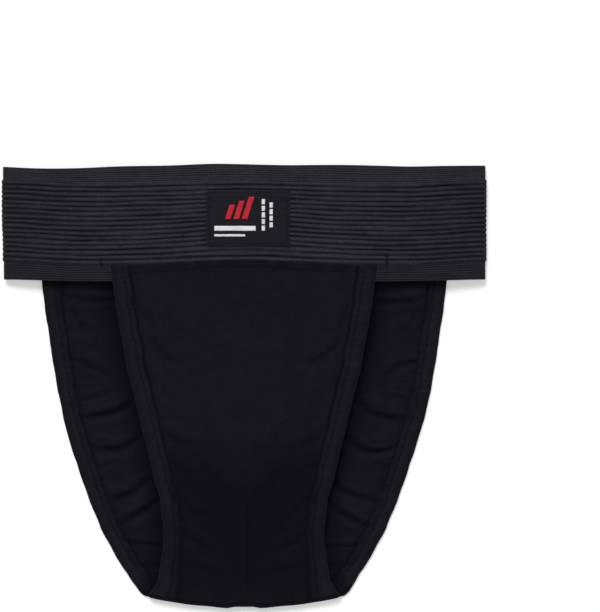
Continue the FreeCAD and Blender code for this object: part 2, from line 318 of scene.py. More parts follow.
# Where the leg hems are drawn in: Y, width and amount. The front's first place is pinched.
KINK_Y = -72
FRONT_DRAWN = ((KINK_Y, 8, 1.8), (-91, 12, 1), (-130, 8, 1.8))
BACK_DRAWN = ((-47, 12, 0.5), (-77, 9, -0.45))

# Depths of the layers below the outer face, and insets from the leg edges
HEM_DEPTH = 2.9 * MM
ELASTIC_DEPTHS = (1.05 * MM, 1.85 * MM)
LINING_DEPTHS = (1.05 * MM, 1.95 * MM)
LINING_INSET = 12.8 * MM
SHEET_EDGE = 0.3 * MM
HEM_ZONE = 16 * MM
PADDED = 13 * MM
SLOT_END = 11.2 * MM
ELASTIC_INSET = 2.2 * MM
FRONT_ROWS = (8.3 * MM, 12.7 * MM)
LOOPER_ROWS = (7.6 * MM, 11.8 * MM)

LABEL_BOW = 51
DART_X = 2.4 * MM
DOME_KNOTS = 15
FOLD_STATIONS = 15
FOLD_SLOPE = 0.9
EDGE_STEP = 0.2 * MM


def crotch_line(x):
    """Y of the crotch's outermost line, a shallow arc."""
    return CROTCH_Y + CROTCH_LINE_RADIUS - np.sqrt(CROTCH_LINE_RADIUS**2 - x * x)


def foot_rise(x):
    """How far the fold's edge is drawn up, most of all between the lining's two seam ends."""
    across = np.abs(x)
    drawn = 0.55 + 0.5 * bell(across - 24 * MM, 9) + 1.25 * fade(across, 12.5, 5)
    return MM * (drawn * fade(across, 62, 42) - 1.6 * bell(across - 67.5 * MM, 3))


CORNER_Y = float(crotch_line(np.float64(CROTCH_HALF)))
FOLD_Y = CORNER_Y + FOLD_RADIUS


def leg_edge(points, top):
    """Half width of a panel's pattern by Y, up to the top corner of its box."""
    points = points[::-1]
    places = [WAIST_LOW.y + share * (CROTCH_Y - WAIST_LOW.y) for share, _ in points]
    halves = [part * top.x for _, part in points]
    return spline([CORNER_Y, *places, top.y], [CROTCH_HALF, *halves, top.x])


front_pattern_half = leg_edge(FRONT_LEG, FRONT_HIGH)
back_pattern_half = leg_edge(BACK_LEG, BACK_HIGH)


def front_half(y):
    """Half width of the front: its pattern's, less where its hems are pinched or drawn in."""
    return front_pattern_half(y) - MM * bells(y, FRONT_DRAWN) * fade(y - CORNER_Y, 0, 6)


def back_half(y):
    """Half width of the seat: its pattern's, drawn in by its elastic just above the crotch."""
    drawn = bells(y, BACK_DRAWN) + 1.7 * fade(y, -134, -124) * fade(y, -94, -108)
    return back_pattern_half(y) - MM * drawn


def measured_dome(node, low_y, high_y, half, share):
    """Crown and fall of a bulged layer's outer face, read from its solid."""
    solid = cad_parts[node]
    tree = BVHTree.FromObject(solid, bpy.context.evaluated_depsgraph_get())

    def top(x, y):
        return tree.ray_cast(Vector((x, y, 1)), Vector((0, 0, -1)))[0].z

    places = np.linspace(low_y, high_y, DOME_KNOTS)
    crowns = np.array([top(EDGE_STEP, y) for y in places])
    offs = np.array([share * float(half(y)) for y in places])
    falls = (crowns - np.array([top(x, y) for x, y in zip(offs, places)])) / offs**2
    return spline(places, crowns), spline(places, falls)


front_crown, front_fall = measured_dome(
    "front_panel", FOLD_Y + 1 * MM, FRONT_HIGH.y - 1 * MM, front_half, 0.7
)

# Distances down the garment, from the lap's edge
FRONT_LENGTH = FRONT_HIGH.y - LAP_DROP - FOLD_Y
FOLD_LENGTH = math.pi * FOLD_RADIUS
BACK_START = FRONT_LENGTH + FOLD_LENGTH
SEAM_AT = BACK_START + SEAM_Y - FOLD_Y
GARMENT_LENGTH = BACK_START + BACK_HIGH.y - FOLD_Y
KINK_AT = FOLD_Y + FRONT_LENGTH - KINK_Y * MM

# Creases of the wearer's left side: from, to, width, bend as a share of the length, and depth
SEAT_CREASES = (
    ((120, 61), (84, 58.5), 1.8, 0.05, 1.9),
    ((118, 54), (104, 38), 1.9, 0.04, 1.25),
    ((116, 18.5), (93, 9), 1.7, -0.05, 1.7),
    ((111, 3.5), (98, 6.5), 1.2, 0, 0.7),
    ((109, -8), (92, -3.5), 1.4, 0, 1.1),
    ((107, -21), (71, -5), 2.2, 0.1, 2.7),
    ((104, -31), (88, -36), 1.5, 0.12, 1.2),
    ((102, -38.5), (68, -30), 2.3, 0.2, 2.7),
    ((97, -54), (86, -50), 1.4, 0, 0.9),
    ((89, -75.5), (58, -59), 1.9, 0.085, 2.3),
    ((84, -92), (54, -74), 2.0, 0.055, 2.7),
    ((79, -104.5), (52, -105.5), 1.5, 0.05, 2.6),
    ((72, -118), (52, -122), 1.6, 0, 1.2),
)
FRONT_CREASES = (
    ((72, 58), (60, 38), 2.6, 0, 0.35),
    ((64, 34), (41, 17), 2.6, 0.07, 0.48),
    ((69, 20), (58, 3), 2.0, 0, 0.35),
    ((56, -27), (34, -37), 2.2, 0.08, 0.5),
    ((51, -46), (33, -57), 2.3, 0.06, 0.5),
    ((47, -70), (25, -86), 2.4, 0.08, 0.95),
    ((44, -80), (36, -96), 2.0, 0, 0.5),
    ((42, -95), (22, -108), 2.1, 0.06, 0.95),
    ((40, -118), (18, -123), 2.6, 0, 0.4),
    ((24, -52), (10, -70), 3.0, 0.05, 0.4),
)


def crease(x, y, start, end, width, bend):
    """How strongly a crease is felt at each place: 1 in its line, less on its shoulders."""
    (ax, ay), (bx, by) = np.array([start, end]) * MM
    length = math.hypot(bx - ax, by - ay)
    tx, ty = (bx - ax) / length, (by - ay) / length
    t = ((x - ax) * tx + (y - ay) * ty) / length
    off = (y - ay) * tx - (x - ax) * ty - bend * length * 4 * t * (1 - t)
    line = bell(off, width) - 0.42 * bell(np.abs(off) - 2.3 * width * MM, 1.5 * width)
    return line * step(t, -0.25, 0.25) * step(t, 1.25, 0.75)


def creases(x, y, folds):
    """The pull of all a panel's creases at each place; a slow drift makes the sides differ."""
    drift_x = x + 1.4 * MM * ripple(x, y, 17, 12.5)
    drift_y = y + MM * (1.2 * ripple(x, y, 15, 14.1) + 0.5 * np.sign(x))
    return sum(depth * crease(np.abs(drift_x), drift_y, *fold) for *fold, depth in folds)


def gathers(y, seed):
    """Short waves square to a hem, where its elastic draws the cloth together."""
    drift = 3.5 * MM * ripple(y, seed * MM, 14, seed)
    return wave(y + drift, 8.5) * (0.6 + 0.5 * ripple(y, 0, 19, seed + 1))


def seat_relief(x, y):
    """How far the seat cloth stands off the table: gathered by its hems, it billows."""
    inset = back_half(y) - np.abs(x)
    free = fade(inset, 8, 21) * fade(y, 83, 70) * fade(y, -134, -108)
    near = fade(inset, 9, 15) * fade(y, 79, 66)
    billow = 2.8 + 0.9 * ripple(x, y, 34, 3.1) + 2.6 * bell(y - 66 * MM, 15)
    fine = 0.3 * ripple(x, y, 8, 8.4) + 0.42 * ripple(0.4 * x, y, 6.5, 4.9)
    drawn = 0.42 * gathers(y, 5.5) * bell(inset - 17 * MM, 9)
    lift = free * (billow + fine * fade(inset, 6, 18))
    lift = lift + near * (drawn - creases(x, y, SEAT_CREASES))
    return MM * np.maximum(np.where(lift > 0, lift, 0.1 * lift) + 0.1 * near, 0)


def front_relief(x, y):
    """Soft unevenness of the front: creases, the pocket's seam and the dart."""
    across = np.abs(x)
    inset = front_half(y) - across
    relief = 0.42 * ripple(x, y, 23, 1.7) + 0.16 * ripple(x, y, 8, 5.2)
    relief = relief + 0.2 * gathers(y, 2.5) * bell(inset - 16 * MM, 8)
    relief = relief - creases(x, y, FRONT_CREASES)
    # The cup pocket's pointed lower edge is sewn on from behind: a ridge over a shallow line
    seam = y - POCKET_LOW.y - 25 * MM * (1 - bell(x, 16)) - 0.1 * across
    ridge = 0.4 * bell(seam - 1.8 * MM, 1.9) - 0.34 * bell(seam + 0.8 * MM, 1.1)
    relief = relief + ridge * fade(across, 60, 46) * (0.7 + 0.4 * ripple(x, y, 15, 6.0))
    dart = 0.5 * bell(x - DART_X, 4.5) - 0.8 * bell(x - DART_X, 0.5)
    relief = relief + dart * fade(y, -74, -82)
    relief = relief * fade(inset, 11, 17) + 0.1 * ripple(x, y, 9, 2.2)
    return MM * relief * fade(y, 88, 78) * fade(y, -134, -124)


def front_height(x, y):
    """Z of the front's outer face."""
    level = fade(y - FOLD_Y, 14, 2)
    dome = front_crown(y) - front_fall(y) * x * x
    return dome * (1 - level) + 2 * FOLD_RADIUS * level + front_relief(x, y)


def by_part(at, front, fold, back):
    """The value for each row: on the front, in the crotch fold or on the back."""
    return np.where(at <= FRONT_LENGTH, front, np.where(at >= BACK_START, back, fold))


def row_places(at):
    """Y, half width and edge slope of the garment's rows, by distance down from the lap."""
    at = np.asarray(at, float)
    turned = at - BACK_START
    y = FOLD_Y + by_part(at, FRONT_LENGTH - at, 0, turned)
    turn = np.clip((at - FRONT_LENGTH) / FOLD_RADIUS, 0, math.pi)
    edge_y = y - FOLD_RADIUS * np.sin(turn)

    def slope(half):
        return (half(edge_y + EDGE_STEP) - half(edge_y - EDGE_STEP)) / (2 * EDGE_STEP)

    half = np.where(turn < math.pi / 2, front_half(edge_y), back_half(edge_y))
    half = half + MM * (1.2 * bell(turned + 1 * MM, 3.5) - 2 * bell(turned + FOLD_LENGTH / 2, 3.5))
    lean = np.sqrt(1 + by_part(at, slope(front_half), FOLD_SLOPE, slope(back_half)) ** 2)
    wider = fade(at - FRONT_LENGTH, -24, -4) * step(turned, 0, -FOLD_LENGTH)
    return y, half, lean + 0.2 * wider


def lay(at, x, depth):
    """Points of the laid garment, by distance down, distance across and depth."""
    y = row_places(at)[0]
    at, x, depth = np.broadcast_arrays(np.asarray(at, float), x, depth)
    bow = crotch_line(np.clip(x, -CROTCH_HALF, CROTCH_HALF)) - CORNER_Y
    rise = foot_rise(x)
    front_y = y + np.clip(at / FRONT_LENGTH, 0, 1) ** 2 * bow
    front_y = front_y + rise * fade(at - FRONT_LENGTH, -26, 0)
    # The lap bows up at the label with the waist elastic
    front_y = front_y + 4.4 * MM * bell(x, LABEL_BOW) * (1 - fade(at, 0, 60))
    back_y = y + (bow + rise) * step(y, SEAM_Y, FOLD_Y)
    turn, reach = (at - FRONT_LENGTH) / FOLD_RADIUS, FOLD_RADIUS - depth
    # Low down, the seat lies a little towards the wearer's right
    shift = 0.55 * MM * (at >= BACK_START) * fade(y, -10, -35) * fade(y - FOLD_Y, 0, 10)
    out_y = by_part(at, front_y, y + bow + rise - reach * np.sin(turn), back_y)
    out_z = by_part(
        at,
        front_height(x, front_y) - depth,
        FOLD_RADIUS + reach * np.cos(turn),
        depth + seat_relief(x, back_y),
    )
    return np.stack([x - shift, out_y, out_z], -1)


def stations(first, last, pace):
    """A column of distances down the garment, closer together round the crotch fold."""
    fold = np.linspace(FRONT_LENGTH, BACK_START, FOLD_STATIONS)
    flat = np.arange(first, last, pace)
    flat = flat[(flat < FRONT_LENGTH - pace / 2) | (flat > BACK_START + pace / 2)]
    inside = fold[(fold > first) & (fold < last)]
    return np.unique(np.concatenate([flat, inside, [last]]))[:, None]


# ---- finishes ----

# Pitch in metres of a wave texture at scale 1
WAVE_PITCH = 0.31416


class Shader:
    """A short way to wire the nodes of a finish or of the stage."""

    def __init__(self, owner):
        owner.use_nodes = True
        self.owner, self.tree = owner, owner.node_tree

    def node(self, kind, settings=None, **inputs):
        made = self.tree.nodes.new(f"ShaderNode{kind}")
        for key, value in (settings or {}).items():
            setattr(made, key, value)
        for key, value in inputs.items():
            self.feed(made.inputs[key.replace("_", " ")], value)
        return made

    def feed(self, socket, value):
        if isinstance(value, bpy.types.NodeSocket):
            self.tree.links.new(value, socket)
        elif isinstance(value, tuple) and len(value) == 3 and socket.type == "RGBA":
            socket.default_value = (*value, 1)
        else:
            socket.default_value = value

    def pair(self, made, first, second, place=0):
        """Feeds a node's two sockets from the given place on."""
        self.feed(made.inputs[place], first)
        self.feed(made.inputs[place + 1], second)
        return made

    def maths(self, operation, first, second):
        return self.pair(self.node("Math", {"operation": operation}), first, second).outputs[0]

    def times(self, first, second):
        return self.maths("MULTIPLY", first, second)

    def plus(self, first, second):
        return self.maths("ADD", first, second)

    def mix(self, amount, first, second, blend="MIX"):
        made = self.node("Mix", {"data_type": "RGBA", "blend_type": blend}, Factor=amount)
        return self.pair(made, first, second, 6).outputs[2]

    def shade(self, colour, tone):
        return self.mix(1.0, colour, tone, "MULTIPLY")

    def value(self, name):
        return self.node("Attribute", {"attribute_name": name}).outputs["Fac"]

    def places(self):
        return self.node("TexCoord").outputs["Object"]

    def noise(self, scale, detail=3.0, roughness=0.55):
        made = self.node(
            "TexNoise", Vector=self.places(), Scale=scale, Detail=detail, Roughness=roughness
        )
        return made.outputs["Fac"]

    def ramp(self, value, low, high):
        return self.node("MapRange", Value=value, From_Min=low, From_Max=high).outputs["Result"]

    def patches(self, scale, low, high, *grain):
        return self.ramp(self.noise(scale, *grain), low, high)

    def waves(self, pitch, direction="X", distortion=0.0, vector=None):
        """Bands from 0 to 1 with the given pitch in metres."""
        made = self.node(
            "TexWave", {"bands_direction": direction}, Vector=vector or self.places(),
            Scale=WAVE_PITCH / pitch, Distortion=distortion, Detail=1.0, Detail_Scale=60.0,
        )
        return made.outputs["Fac"]

    def bump(self, height, distance, strength, **normal):
        made = self.node("Bump", Height=height, Distance=distance, Strength=strength, **normal)
        return made.outputs["Normal"]

    def rays(self):
        """1 for the rays that show the background as it is: camera, glossy and transmission."""
        seen = self.node("LightPath").outputs
        either = self.maths("MAXIMUM", seen["Is Camera Ray"], seen["Is Glossy Ray"])
        return self.maths("MAXIMUM", either, seen["Is Transmission Ray"])

    def finish(self, colour, normal, roughness, specular, sheen=0.0, sheen_tint=(0.6, 0.6, 0.7)):
        inputs = self.tree.nodes["Principled BSDF"].inputs
        self.feed(inputs["Base Color"], colour)
        if normal:
            self.feed(inputs["Normal"], normal)
        self.feed(inputs["Roughness"], roughness)
        inputs["Specular IOR Level"].default_value = specular
        inputs["Sheen Weight"].default_value = sheen
        inputs["Sheen Roughness"].default_value = 0.55
        inputs["Sheen Tint"].default_value = (*sheen_tint, 1)
        return self.owner


def scaled(colour, factor):
    return tuple(min(1.0, channel * factor) for channel in colour)


def named_finish(make):
    """A finish is made at its first use, and found by its name after that."""
    def find(name, *values):
        return bpy.data.materials.get(name) or make(Shader(bpy.data.materials.new(name)), *values)
    return find


@named_finish
def jersey(s, base):
    """Fine single knit: wales along the garment, courses across, a matt uneven face."""
    blotch = s.patches(42, 0.3, 0.7, 5, 0.62)
    fine = s.patches(560, 0.32, 0.68, 3, 0.7)
    wide = s.patches(17, 0.32, 0.68)
    spots = s.patches(150, 0.32, 0.68, 3, 0.6)
    colour = s.mix(blotch, scaled(base, 0.68), scaled(base, 1.36))
    colour = s.mix(s.times(wide, 0.3), colour, scaled(base, 0.55))
    colour = s.shade(colour, s.plus(s.times(spots, 0.44), 0.8))
    colour = s.mix(s.times(fine, 0.6), colour, scaled(base, 1.7))
    wales = s.waves(0.85 * MM, "X", 0.5)
    spot = s.node("SeparateXYZ", Vector=s.places()).outputs["Y"]
    chevron = s.plus(spot, s.times(wales, 0.42 * MM))
    loops = s.node("CombineXYZ", Y=chevron).outputs["Vector"]
    knit = s.plus(wales, s.times(s.waves(0.66 * MM, "Y", 0.0, loops), 0.6))
    colour = s.shade(colour, s.ramp(knit, -1.4, 1.1))
    # The tone carries each piece's tone with its painted shade and painted light; deep painted
    # shade turns a bluish dark
    tone = s.value("tone")
    colour = s.shade(colour, tone)
    colour = s.mix(s.ramp(tone, 1.0, 0.1), colour, scaled((0.8, 0.7, 1.5), base[0] * 0.5))
    normal = s.bump(knit, 0.09 * MM, 0.8)
    normal = s.bump(s.noise(900, 3, 0.7), 0.22 * MM, 0.6, Normal=normal)
    rough = s.plus(s.times(blotch, 0.08), 0.84)
    return s.finish(colour, normal, rough, 0.06, 0.025, (0.55, 0.5, 0.8))


@named_finish
def knitted_elastic(s, base):
    """Knitted elastic: warp cords in the ribs, fine weft ticks across them."""
    tone = s.value("tone")
    along = s.node("CombineXYZ", X=s.value("along")).outputs["Vector"]
    ticks = s.waves(1.05 * MM, "X", 0.0, along)
    coarse = s.times(s.waves(2.15 * MM, "X", 0.0, along), s.patches(70, 0.4, 0.65))
    fleck = s.patches(700, 0.35, 0.65, 2)
    colour = s.mix(s.patches(30, 0.3, 0.7, 4), scaled(base, 0.84), scaled(base, 1.14))
    colour = s.mix(s.times(coarse, 0.45), colour, scaled(base, 0.45))
    colour = s.mix(s.times(ticks, 0.55), colour, scaled(base, 0.5))
    colour = s.mix(s.times(fleck, 0.45), colour, scaled(base, 1.7))
    # The tone carries the elastic's streaks and its painted shade; deep painted shade turns a
    # bluish dark
    colour = s.shade(colour, tone)
    colour = s.mix(s.ramp(tone, 0.9, 0.0), colour, scaled((0.8, 0.7, 1.6), base[0] * 0.25))
    normal = s.bump(ticks, 0.14 * MM, 0.8)
    normal = s.bump(s.noise(1100, 3, 0.7), 0.14 * MM, 0.5, Normal=normal)
    return s.finish(colour, normal, 0.78, 0.1, 0.03)


@named_finish
def woven(s, base, pitch, specular=0.14):
    """Tight weave, for the label, the tape and the leg elastics."""
    weave = s.times(s.waves(pitch, "X", 0.2), s.waves(pitch * 0.8, "Y", 0.2))
    colour = s.mix(s.patches(120, 0.3, 0.7), scaled(base, 0.88), scaled(base, 1.1))
    colour = s.mix(s.times(weave, 0.4), colour, scaled(base, 1.35))
    return s.finish(colour, s.bump(weave, 0.07 * MM, 0.7), 0.72, specular, 0.05)


@named_finish
def spun_thread(s, base):
    """Spun polyester thread in the colour of what it is sewn on."""
    twist = s.waves(0.5 * MM, "DIAGONAL", 0.3)
    colour = s.mix(twist, scaled(base, 0.63), scaled(base, 1.17))
    return s.finish(colour, s.bump(twist, 0.05 * MM, 0.5), 0.8, 0.06)


def jersey_knit():
    return jersey("jersey_knit", colours().jersey)


def sewing_thread():
    return spun_thread("sewing_thread", colours().jersey)


# ---- waist elastic ----

BAND_THICKNESS = 2.4 * MM
SELVEDGE_RECESS = 0.75 * MM
SELVEDGE_ROWS = 34
ROWS_PER_RIB = 10
EDGE_ROUND = 0.5 * MM
SELVEDGE_LINES = 7
LOW_SELVEDGE_TONE = 0.64

# The front of the loop is a shallow arch between the two side folds
ARCH_HALF = WAIST_HIGH.x - FOLD_RADIUS
ARCH_ANGLE = 2 * math.atan((WAIST_HIGH.z - 2 * FOLD_RADIUS) / ARCH_HALF)
ARCH_RADIUS = ARCH_HALF / math.sin(ARCH_ANGLE) + FOLD_RADIUS
ARCH_CENTRE = WAIST_HIGH.z - ARCH_RADIUS


def band_levels(x, front):
    """Heights of the waist elastic by X: its low edge, its ribs' low and high ends, its top.

    The strip rises a little into its side folds, and on the front it bows up at the label.
    """
    ends = step(np.abs(x), 95 * MM, WAIST_HIGH.x) ** 1.4
    middle = bell(x, LABEL_BOW) * front
    low = WAIST_LOW.y + MM * (-0.9 + 1.4 * ends + 2.5 * middle)
    ribs_low = WAIST_LOW.y + MM * (9.5 + 2.6 * ends + 2.6 * middle)
    ribs_high = WAIST_HIGH.y + MM * (-11.6 + 2.6 * ends + 1.6 * middle)
    slack = 0.45 * ripple(x, 0, 45, 8.8) - 1.65 * bell(x + 134 * MM, 34)
    high = WAIST_HIGH.y + MM * (-1.0 + 0.5 * ends + 1.2 * middle + slack)
    return np.stack([low, ribs_low, ribs_high, high])


def band_loop(pace):
    """The loop's outer section: X, Z, outward normal, distance along and share of front."""
    radius = FOLD_RADIUS
    back = np.arange(-ARCH_HALF, ARCH_HALF, pace)
    turns = np.linspace(-math.pi / 2, math.pi / 2 - ARCH_ANGLE, 22, endpoint=False)
    arch = np.linspace(ARCH_ANGLE, -ARCH_ANGLE, int(2 * ARCH_HALF / pace), endpoint=False)
    fold_x, fold_z = ARCH_HALF + radius * np.cos(turns), radius + radius * np.sin(turns)
    parts = (
        (back, 0 * back, 0 * back, 0 * back - 1),
        (fold_x, fold_z, np.cos(turns), np.sin(turns)),
        (
            ARCH_RADIUS * np.sin(arch), ARCH_CENTRE + ARCH_RADIUS * np.cos(arch),
            np.sin(arch), np.cos(arch),
        ),
        (-fold_x[::-1], fold_z[::-1], -np.cos(turns)[::-1], np.sin(turns)[::-1]),
    )
    x, z, nx, nz = (np.concatenate(runs) for runs in zip(*parts))
    gaps = np.hypot(np.diff(x, append=x[:1]), np.diff(z, append=z[:1]))
    along = np.concatenate([[0], np.cumsum(gaps)[:-1]])
    return x, z, nx, nz, along, step(nz, -0.2, 0.6)


class SUPPORTER_OT_waistband(bpy.types.Operator):
    """Ribbed waist elastic: one loop with plain selvedges, rounded ribs and narrow grooves"""

    bl_idname = "supporter.waistband"
    bl_label = "Waist elastic"

    def execute(self, context):
        x, z, nx, nz, along, front = band_loop(1.7 * MM)
        y, face, tone = self.outer_face(x, nx, along, front)
        flat = np.linspace(0, 1, 16)[:, None]
        inner_y = y[-1] - EDGE_ROUND + (y[0] - y[-1] + 2 * EDGE_ROUND) * flat
        inner = BAND_THICKNESS + 0.1 * MM * ripple(along, inner_y, 18, 6.0)
        turns = np.linspace(0.25, 0.75, 3)[:, None] * math.pi
        bulge = (BAND_THICKNESS - SELVEDGE_RECESS) / 2
        edge = SELVEDGE_RECESS + bulge * (1 - np.cos(turns)) + 0 * x
        out = EDGE_ROUND * np.sin(turns)
        y = np.concatenate([y, y[-1] + out, inner_y, y[0] - out])
        depth = np.concatenate([face, edge, inner, edge[::-1]])
        tone = np.concatenate([tone, 0 * edge + 0.9, 0 * inner + 0.8, 0 * edge + 0.7])
        points = np.stack([x - nx * depth, y, z - nz * depth], -1)
        # The fold on the wearer's right leans in a little towards its foot
        points[:, :, 0] += 0.65 * MM * fade(-x, 140, 160) * fade(y, 118, 92)
        faces = grid_faces(*y.shape, closed_rows=True, closed_columns=True)
        finish = knitted_elastic("knitted_waist_elastic", colours().elastic)
        piece = make_piece(
            "ribbed_waistband", points, faces, finish, "ribbed_elastic", tone, along + 0 * y
        )
        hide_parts("waistband_elastic")
        return {"FINISHED"}

    def outer_face(self, x, nx, along, front):
        """Y, depth and tone of the outer face, up from its low edge: selvedge, ribs, selvedge."""
        ribs = sizes().ribs
        selvedge = np.linspace(0, 1, SELVEDGE_ROWS)
        runs = [selvedge, np.linspace(0, 1, ribs * ROWS_PER_RIB + 1)[1:-1], selvedge]
        zone = np.repeat(range(3), [len(run) for run in runs])[:, None]
        share = np.concatenate(runs)[:, None]
        ribbed = zone == 1
        levels = band_levels(x, front)
        low, high = levels[zone[:, 0]], levels[zone[:, 0] + 1]
        bowed = 2.2 * MM * ribbed * step(share, 0, 0.22) * step(share, 1, 0.3)
        y = low + share * (high - low) + bowed * bell(x, LABEL_BOW) * front
        wobble = 0.36 * MM * ripple(along, 8 * y, 32, 4.0)
        inside = step(share, 0, 0.08) * step(share, 1, 0.92)
        strength = np.clip(1 + 0.5 * ripple(along, 9 * y, 34, 7.0), 0.45, 1.35)
        strength = strength * (1 - 0.55 * step(np.abs(nx), 0.4, 0.95))
        # A rib is round: 0 on its crest and 1 in the groove
        groove = ribbed * np.abs(2 * (share * ribs % 1) - 1) ** 1.7
        lines = np.where(ribbed, 0, 0.5 - 0.5 * np.cos(share * 2 * math.pi * SELVEDGE_LINES))
        depths = sizes().rib_depth * groove * strength
        face = np.where(ribbed, depths, SELVEDGE_RECESS + 0.3 * MM * lines)
        face = np.maximum(face + 0.12 * MM * ripple(along, y, 22, 9.0), 0)
        y = y + wobble * np.where(ribbed, inside, 0.35)
        streak = 0.17 * ripple(along, 26 * y, 38, 3.0) + 0.14 * ripple(along, 2 * y, 5, 3.6)
        ends = fade(np.abs(x), 90, 158) * front
        # Painted shade in the grooves between the ribs, deeper on the front towards the side folds,
        # where the front is also darker
        tone = 1.3 - (1.08 + 0.16 * ends) * groove * strength**0.6 + streak - 0.2 * ends
        # Painted shade in the selvedges' fine grooves
        plain = (1.62 - 1.15 * lines + streak) * np.where(zone == 0, LOW_SELVEDGE_TONE, 1)
        return y, face, np.clip(np.where(ribbed, tone, plain), 0.12, 1.5)


# ---- cloth ----

ROW_PACE = 0.95 * MM
# The pocket sheet: height and half width of its point, its hem, and its mesh
POINT_HEIGHT = 30 * MM
POINT_HALF = 45 * MM
POCKET_HEM = 8 * MM
POCKET_MESH = (90, 70)


def hem_section():
    """Inset and depth of a hem's section, from the sheet's inner face round to its outer face.

    The cloth turns in round a slot for the elastic. The third row tells the outer face (1) and
    the turned layer's free face (2) from the rest (0).
    """
    cloth, width, middle = sizes().fabric, sizes().hem_width, HEM_DEPTH / 2
    turns = np.linspace(0, math.pi, 9)[1:-1]
    runs = (
        (np.linspace(HEM_ZONE, cloth * 2, 12), cloth, 0),
        (cloth * np.array([1.25]), middle, 0),
        (np.linspace(cloth * 2, width, 14), HEM_DEPTH - cloth, 0),
        (width + np.array([0.15 * MM]), HEM_DEPTH - cloth / 2, 0),
        (np.linspace(width, middle, 44), HEM_DEPTH, 2),
        (middle - middle * np.sin(turns), middle + middle * np.cos(turns), 0),
        (np.linspace(middle, HEM_ZONE, 44), 0, 1),
    )
    inset, depth, face = (
        np.concatenate([run[row] + 0 * run[0] for run in runs]) for row in range(3)
    )
    closed = (depth > 1.2 * cloth) * step(inset, SLOT_END, width)
    return inset, depth - (HEM_DEPTH - 2 * cloth - 0.05 * MM) * closed, face


def row_drift(at):
    """A sewn row wanders a little across its hem."""
    return 0.4 * MM * ripple(at, 0, 12, 4.4)


def kink(at, inset):
    """Where each front hem is pinched at the height of the pocket's point."""
    return bell(at - KINK_AT, 2) * bell(inset - PADDED, 2.4)


def hem_relief(inset, at, face):
    """How far a hem's face stands out: padded by its elastic, pulled in at the stitches."""
    drift = row_drift(at)
    inset = inset - drift
    stitch = 0.2 * (0.5 + 0.5 * np.cos(2 * math.pi * at / sizes().stitch))
    pad = 0.75 * np.sin(math.pi * np.clip(inset / PADDED, 0, 1)) ** 0.8
    outer = pad - 0.8 * kink(at, inset)
    outer = outer - (0.36 + stitch) * sum(bell(inset - row, 0.6) for row in FRONT_ROWS)
    under = 0.5 * pad - (0.2 + stitch) * sum(bell(inset - row, 0.7) for row in LOOPER_ROWS)
    gather = 0.14 * wave(at + 6 * drift, 5.3) * fade(inset, 1, 4) * fade(inset, 14, 11)
    return MM * np.where(face == 1, outer + gather, np.where(face == 2, under + gather, 0))


def hem_tone(inset, at, face):
    """A hem is a little paler than the cloth; painted shade darkens its lines of stitches, pinch
    and edge.
    """
    inset = inset - row_drift(at)
    outer, under = face == 1, face == 2
    worn = 1 + 0.5 * ripple(at, 3 * inset, 6, 9.1)
    pale = 0.26 * fade(inset, 0, 6.5) * fade(inset, 13, 9.5) * worn
    # Painted shade at the rounded outer edge, in the pinch and in the grooves of the front's stitch
    # rows
    painted_shade = 0.5 * kink(at, inset) + 0.22 * fade(inset, 3.2, 0)
    for row, depth in zip(FRONT_ROWS, (0.38, 0.95)):
        painted_shade = painted_shade + depth * bell(inset - row, 0.75)
    # Painted shade in the grooves of the looper rows
    sewn = 0.4 * sum(bell(inset - row, 0.6) for row in LOOPER_ROWS)
    return 1 + pale * (outer + 1.8 * under) - painted_shade * outer - sewn * under


def leg_shade(x, y):
    """Inside the leg openings the cloth looks deeper towards the front's hems."""
    beside = front_half(np.clip(y, CORNER_Y, FRONT_HIGH.y)) - np.abs(x)
    return 1 - 0.66 * fade(beside, -16, 2)


def panel_tone(at, x, y):
    """How dark a hemmed panel's cloth is painted: painted shade in creases, low on the front, along
    the dart and in the leg openings, painted light on the crotch fold, and darker at the lap's
    seam.
    """
    on_front, across = at <= FRONT_LENGTH, np.abs(x)
    # Painted shade in the creases
    crease_shade = np.where(
        on_front, 0.5 * creases(x, y, FRONT_CREASES), 0.16 * creases(x, y, SEAT_CREASES)
    )
    # Painted shade: the front is darker below a V that ends at the pocket's point, where it falls
    # away from the light below the pouch's bulge, and along the groove of its dart
    below = 0.52 * across - 43 * MM - y + 4 * MM * ripple(x, y, 21, 6.6)
    low = (0.43 * fade(below, -10, 38) - 0.09 * fade(below, 46, 76)) * fade(across, 56, 42)
    dart = bell(x - DART_X, 0.7) * fade(y, -72, -77) * fade(y, -143, -134)
    low = low + 0.46 * dart * (1 - 0.55 * fade(y, -90, -108))
    # Painted light: the crotch fold is painted paler, where its face turns away from the key lamp
    foot = fade(at - FRONT_LENGTH, -14, -3) * step(at - BACK_START, 0, -FOLD_LENGTH / 2)
    painted_fold_light = 1 + 0.1 * foot + 0.42 * bell(at - FRONT_LENGTH - 3 * MM, 3.6)
    # The lap is sewn to the waist elastic
    lap = bell(at - 4.6 * MM, 0.55) + 0.55 * wave(x, 2.7) ** 2 * fade(at, 6.5, 2)
    shade = np.where(on_front, (1 - low) * (1 - 0.36 * lap), leg_shade(x, y))
    return painted_fold_light * shade * (1 - np.clip(crease_shade, -0.15, 0.55))


